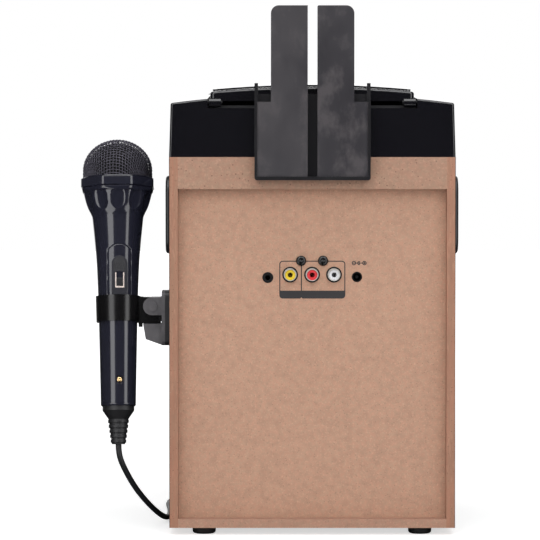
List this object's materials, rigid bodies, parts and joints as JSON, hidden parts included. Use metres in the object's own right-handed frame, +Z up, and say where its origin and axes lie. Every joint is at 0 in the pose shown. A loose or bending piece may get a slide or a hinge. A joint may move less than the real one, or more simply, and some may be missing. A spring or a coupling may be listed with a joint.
{
  "type": "karaoke machine with disc tray",
  "caption": "Portable karaoke machine: fibreboard cabinet, moulded top with hinged lid over a disc tray, tablet cradle on the back and wired microphone in a side holder.",
  "frame": {"origin": "on the floor under the cabinet's centre", "axes": "+Z up, +Y towards the back with the sockets, -Y towards the speaker, +X towards the microphone"},
  "size_m": [0.2607, 0.2852, 0.3605],
  "materials": {
    "fibreboard": "raw medium density fibreboard",
    "black_gloss_plastic": "moulded, glossy",
    "black_satin_plastic": "moulded, satin",
    "dark_grey_plastic": "moulded, satin",
    "grey_plastic": "moulded, satin",
    "silver_plastic": "painted silver",
    "rubber": "matte",
    "black_steel": "black oxide",
    "steel": "plain",
    "chrome": "bright plated",
    "yellow_plastic": "glossy",
    "red_plastic": "glossy",
    "white_plastic": "glossy",
    "smoked_clear": "smoked, clear",
    "black_mesh": "woven wire, black",
    "paper": "pressed paper",
    "ferrite": "ferrite",
    "circuit_board": "green lacquer",
    "navy_gloss_plastic": "moulded, glossy"
  },
  "bodies": {
    "cabinet": {"side_panel_left": "fibreboard", "side_panel_right": "fibreboard", "bottom_panel": "fibreboard", "rear_top_rail": "fibreboard", "back_panel": "fibreboard", "front_baffle": "fibreboard", "corner_cleats": "fibreboard", "rubber_feet": "rubber", "damper_mounts": "rubber", "mic_cord": "rubber", "mic_cord_coil": "rubber", "foot_screws": "black_steel", "jack_screws": "black_steel", "handle_cup_left": "black_satin_plastic", "handle_cup_right": "black_satin_plastic", "front_fascia": "black_satin_plastic", "jack_block": "black_satin_plastic", "aux_jack": "black_satin_plastic", "dc_jack": "black_satin_plastic", "mic_holder": "black_satin_plastic", "mic_clip": "black_satin_plastic", "disc_tray": "black_satin_plastic", "speaker_grille": "black_mesh", "top_housing": "black_gloss_plastic", "mic_plug": "black_gloss_plastic", "speaker_cone": "paper", "speaker_magnet": "ferrite", "speaker_frame": "steel", "mech_chassis": "steel", "guide_rods": "steel", "lid_hinge_pins": "steel", "drive_motors": "steel", "rca_shells": "chrome", "mic_jacks": "chrome", "display_lens": "smoked_clear", "control_board": "circuit_board", "main_board": "circuit_board", "rca_insert_yellow": "yellow_plastic", "rca_insert_red": "red_plastic", "rca_insert_white": "white_plastic"},
    "lid": {"disc_lid": "black_gloss_plastic", "lid_window": "smoked_clear"},
    "lid_button": {"lid_button": "silver_plastic"},
    "play_button": {"play_button": "silver_plastic"},
    "stop_button": {"stop_button": "silver_plastic"},
    "skip_button": {"skip_button": "silver_plastic"},
    "power_button": {"power_button": "silver_plastic"},
    "volume_knob": {"volume_knob": "silver_plastic"},
    "echo_knob": {"echo_knob": "silver_plastic"},
    "turntable": {"turntable_hub": "grey_plastic"},
    "pickup": {"pickup_sled": "grey_plastic"},
    "sled_gear": {"sled_gear": "grey_plastic"},
    "microphone": {"mic_body": "navy_gloss_plastic", "mic_collar": "navy_gloss_plastic", "mic_grille": "black_mesh", "mic_capsule": "grey_plastic", "mic_relief": "rubber"},
    "mic_switch": {"mic_switch": "grey_plastic"},
    "cradle": {"cradle_sleeve": "black_satin_plastic", "cradle_arms": "dark_grey_plastic"}
  },
  "joints": [
    {"name": "lid_hinge", "type": "hinge", "parent": "cabinet", "child": "lid", "pos_m": [0, 0.0905, 0.2951], "axis": [-1, 0, 0], "range_deg": [0, 58]},
    {"name": "turntable_spin", "type": "hinge", "parent": "cabinet", "child": "turntable", "pos_m": [0, 0.014, 0.2872], "axis": [0, 0, 1], "continuous": true},
    {"name": "pickup_slide", "type": "slide", "parent": "cabinet", "child": "pickup", "axis": [0, -1, 0], "range_m": [0, 0.024]},
    {"name": "sled_gear_turn", "type": "hinge", "parent": "cabinet", "child": "sled_gear", "pos_m": [0.0284, -0.017, 0.27315], "axis": [0, 0, 1], "range_deg": [0, 230]},
    {"name": "skip_button_press", "type": "slide", "parent": "cabinet", "child": "skip_button", "axis": [0, 0.7748, -0.6322], "range_m": [0, 0.001], "stiffness_N_per_m": 500},
    {"name": "play_button_press", "type": "slide", "parent": "cabinet", "child": "play_button", "axis": [0, 0.7748, -0.6322], "range_m": [0, 0.001], "stiffness_N_per_m": 500},
    {"name": "stop_button_press", "type": "slide", "parent": "cabinet", "child": "stop_button", "axis": [0, 0.7748, -0.6322], "range_m": [0, 0.001], "stiffness_N_per_m": 500},
    {"name": "power_button_press", "type": "slide", "parent": "cabinet", "child": "power_button", "axis": [0, 0.7748, -0.6322], "range_m": [0, 0.001], "stiffness_N_per_m": 500},
    {"name": "lid_button_press", "type": "slide", "parent": "cabinet", "child": "lid_button", "axis": [0, 0.7748, -0.6322], "range_m": [0, 0.001], "stiffness_N_per_m": 500},
    {"name": "volume_knob_turn", "type": "hinge", "parent": "cabinet", "child": "volume_knob", "pos_m": [-0.068, -0.07397, 0.28893], "axis": [0, -0.7748, 0.6322], "range_deg": [-140, 140]},
    {"name": "echo_knob_turn", "type": "hinge", "parent": "cabinet", "child": "echo_knob", "pos_m": [0.068, -0.07397, 0.28893], "axis": [0, -0.7748, 0.6322], "range_deg": [-140, 140]},
    {"name": "mic_lift", "type": "slide", "parent": "cabinet", "child": "microphone", "axis": [0.008, -0.1392, 0.9902], "range_m": [0, 0.05]},
    {"name": "mic_switch_slide", "type": "slide", "parent": "microphone", "child": "mic_switch", "axis": [0.008, -0.1392, 0.9902], "range_m": [0, 0.004]},
    {"name": "cradle_lift", "type": "slide", "parent": "cabinet", "child": "cradle", "axis": [0, 0, 1], "range_m": [0, 0.008]}
  ],
  "couplings": [
    {"joint": "sled_gear_turn", "follows": "pickup_slide", "rad_per_m": 166.67}
  ]
}
